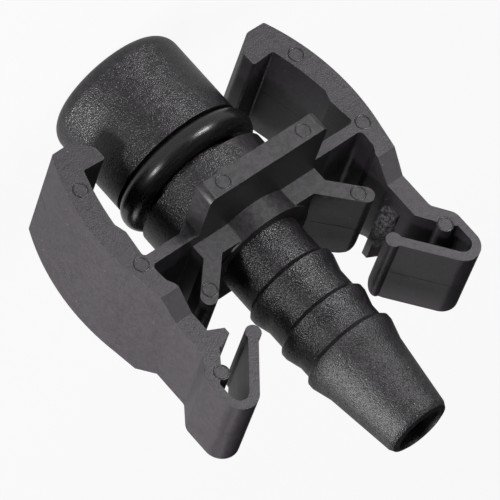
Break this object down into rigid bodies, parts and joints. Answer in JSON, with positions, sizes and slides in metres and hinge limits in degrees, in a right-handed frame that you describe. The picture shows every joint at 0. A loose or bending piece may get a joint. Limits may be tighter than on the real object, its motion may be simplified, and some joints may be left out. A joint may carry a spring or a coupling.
{
  "type": "hose connector",
  "caption": "Quick-connect hose connector: a ring-sealed plug with two squeeze latches, a stop flange and a ridged barb that a hose is pushed over",
  "frame": {"origin": "centre of the plug's flat end face, on which the part stands", "axes": "+Z along the tube from the plug's end face to the barb's mouth; the latch arms lie on -X and +X; -Y is the front"},
  "size_m": [0.0456, 0.036, 0.0657],
  "materials": {
    "moulded_nylon": "satin black glass-filled nylon with a fine grain",
    "ring_rubber": "smooth black rubber with a soft gloss"
  },
  "bodies": {
    "connector": {"connector_body": "moulded_nylon", "o_ring": "ring_rubber"},
    "latch_left": {"latch_arm_left": "moulded_nylon"},
    "latch_right": {"latch_arm_right": "moulded_nylon"}
  },
  "joints": [
    {"name": "latch_left_flex", "type": "hinge", "parent": "connector", "child": "latch_left", "pos_m": [-0.0145, 0, 0.02807], "axis": [0, 1, 0], "range_deg": [0, 13.5], "stiffness_Nm_per_rad": 1},
    {"name": "latch_right_flex", "type": "hinge", "parent": "connector", "child": "latch_right", "pos_m": [0.0145, 0, 0.02807], "axis": [0, -1, 0], "range_deg": [0, 13.5], "stiffness_Nm_per_rad": 1}
  ]
}
